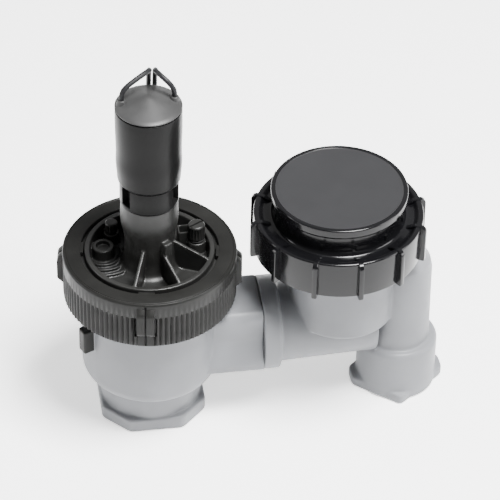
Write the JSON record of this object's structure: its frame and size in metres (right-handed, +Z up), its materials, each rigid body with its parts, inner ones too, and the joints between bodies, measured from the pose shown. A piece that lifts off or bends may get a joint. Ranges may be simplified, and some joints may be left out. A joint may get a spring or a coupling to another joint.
{
  "type": "anti-siphon irrigation valve",
  "caption": "Grey plastic in-line irrigation valve: a solenoid-operated diaphragm valve under a black screw ring, crossing over to an atmospheric vacuum breaker with a raised canopy disc.",
  "frame": {"origin": "middle of the valve at the level of its two threaded bosses, which stand on Z = 0; the loose leads are not counted", "axes": "+Z up along the inlet, bowl and solenoid; +X from the inlet side to the outlet side, the longest extent; +Y to the back, where the leads go"},
  "size_m": [0.1801, 0.1354, 0.1839],
  "materials": {
    "valve_body": "moulded satin",
    "vacuum_breaker_body": "moulded satin",
    "spigot_o_ring": "matte",
    "cover": "moulded satin",
    "lock_ring": "moulded satin",
    "diaphragm": "matte",
    "diaphragm_retainer": "moulded satin",
    "seat_washer": "matte",
    "seat_clamp": "moulded satin",
    "stem": "turned",
    "stem_nut": "machined",
    "main_spring": "drawn wire",
    "solenoid_o_ring": "matte",
    "solenoid_base": "moulded satin",
    "core_tube": "drawn",
    "pole_piece": "turned",
    "plunger": "turned",
    "plunger_seal": "matte",
    "plunger_spring": "drawn wire",
    "coil_bobbin": "moulded satin",
    "coil_winding": "enamelled copper wire",
    "solenoid_housing": "smooth encapsulation",
    "solenoid_top": "smooth encapsulation",
    "bleed_o_ring": "matte",
    "bleed_screw": "moulded satin",
    "port_plug": "moulded satin",
    "vacuum_breaker_cap": "polished mould",
    "canopy_disc": "semi-gloss",
    "cap_o_ring": "matte",
    "float": "moulded satin",
    "float_seal": "matte",
    "lead_wire_a": "PVC insulation",
    "lead_wire_b": "PVC insulation",
    "lead_coil": "PVC insulation"
  },
  "bodies": {
    "valve": {"valve_body": "valve_body", "vacuum_breaker_body": "vacuum_breaker_body", "spigot_o_ring": "spigot_o_ring"},
    "cover": {"cover": "cover", "port_plug": "port_plug"},
    "lock_ring": {"lock_ring": "lock_ring"},
    "solenoid_seal": {"solenoid_o_ring": "solenoid_o_ring", "lead_wire_a": "lead_wire_a", "lead_wire_b": "lead_wire_b", "lead_coil": "lead_coil"},
    "solenoid": {"solenoid_base": "solenoid_base", "solenoid_housing": "solenoid_housing", "solenoid_top": "solenoid_top", "core_tube": "core_tube", "pole_piece": "pole_piece", "coil_bobbin": "coil_bobbin", "coil_winding": "coil_winding"},
    "plunger": {"plunger": "plunger", "plunger_seal": "plunger_seal", "plunger_spring": "plunger_spring"},
    "stem": {"stem": "stem", "stem_nut": "stem_nut", "diaphragm_retainer": "diaphragm_retainer", "seat_washer": "seat_washer", "seat_clamp": "seat_clamp", "diaphragm": "diaphragm", "main_spring": "main_spring"},
    "bleed_seal": {"bleed_o_ring": "bleed_o_ring"},
    "bleed_screw": {"bleed_screw": "bleed_screw"},
    "cap_seal": {"cap_o_ring": "cap_o_ring"},
    "breaker_cap": {"vacuum_breaker_cap": "vacuum_breaker_cap", "canopy_disc": "canopy_disc"},
    "float": {"float": "float", "float_seal": "float_seal"}
  },
  "joints": [
    {"name": "cover_lift", "type": "slide", "parent": "valve", "child": "cover", "axis": [0, 0, 1], "range_m": [0, 0.009]},
    {"name": "lock_ring_turn", "type": "hinge", "parent": "cover", "child": "lock_ring", "pos_m": [-0.0476, 0, 0.078], "axis": [0, 0, 1], "range_deg": [0, 720]},
    {"name": "solenoid_lift", "type": "slide", "parent": "cover", "child": "solenoid_seal", "axis": [0, 0, 1], "range_m": [0, 0.000375]},
    {"name": "solenoid_turn", "type": "hinge", "parent": "solenoid_seal", "child": "solenoid", "pos_m": [-0.0476, 0, 0.13], "axis": [0, 0, 1], "range_deg": [0, 90]},
    {"name": "plunger_stroke", "type": "slide", "parent": "solenoid", "child": "plunger", "axis": [0, 0, 1], "range_m": [0, 0.0015], "stiffness_N_per_m": 150, "springref_m": -0.004, "deforming": ["plunger_spring"]},
    {"name": "stem_lift", "type": "slide", "parent": "valve", "child": "stem", "axis": [0, 0, 1], "range_m": [0, 0.005], "stiffness_N_per_m": 400, "springref_m": -0.012, "deforming": ["diaphragm", "main_spring"]},
    {"name": "bleed_lift", "type": "slide", "parent": "cover", "child": "bleed_seal", "axis": [0, 0, 1], "range_m": [0, 0.00187]},
    {"name": "bleed_turn", "type": "hinge", "parent": "bleed_seal", "child": "bleed_screw", "pos_m": [-0.0255, 0.006, 0.09], "axis": [0, 0, 1], "range_deg": [0, 540]},
    {"name": "cap_lift", "type": "slide", "parent": "valve", "child": "cap_seal", "axis": [0, 0, 1], "range_m": [0, 0.008]},
    {"name": "cap_turn", "type": "hinge", "parent": "cap_seal", "child": "breaker_cap", "pos_m": [0.0383, 0, 0.094], "axis": [0, 0, 1], "range_deg": [0, 720]},
    {"name": "float_lift", "type": "slide", "parent": "valve", "child": "float", "axis": [0, 0, 1], "range_m": [0, 0.0065]}
  ],
  "couplings": [
    {"joint": "lock_ring_turn", "follows": "cover_lift", "rad_per_m": 1396.3},
    {"joint": "solenoid_turn", "follows": "solenoid_lift", "rad_per_m": 4188.8},
    {"joint": "bleed_turn", "follows": "bleed_lift", "rad_per_m": 5026.5},
    {"joint": "cap_turn", "follows": "cap_lift", "rad_per_m": 1570.8}
  ]
}
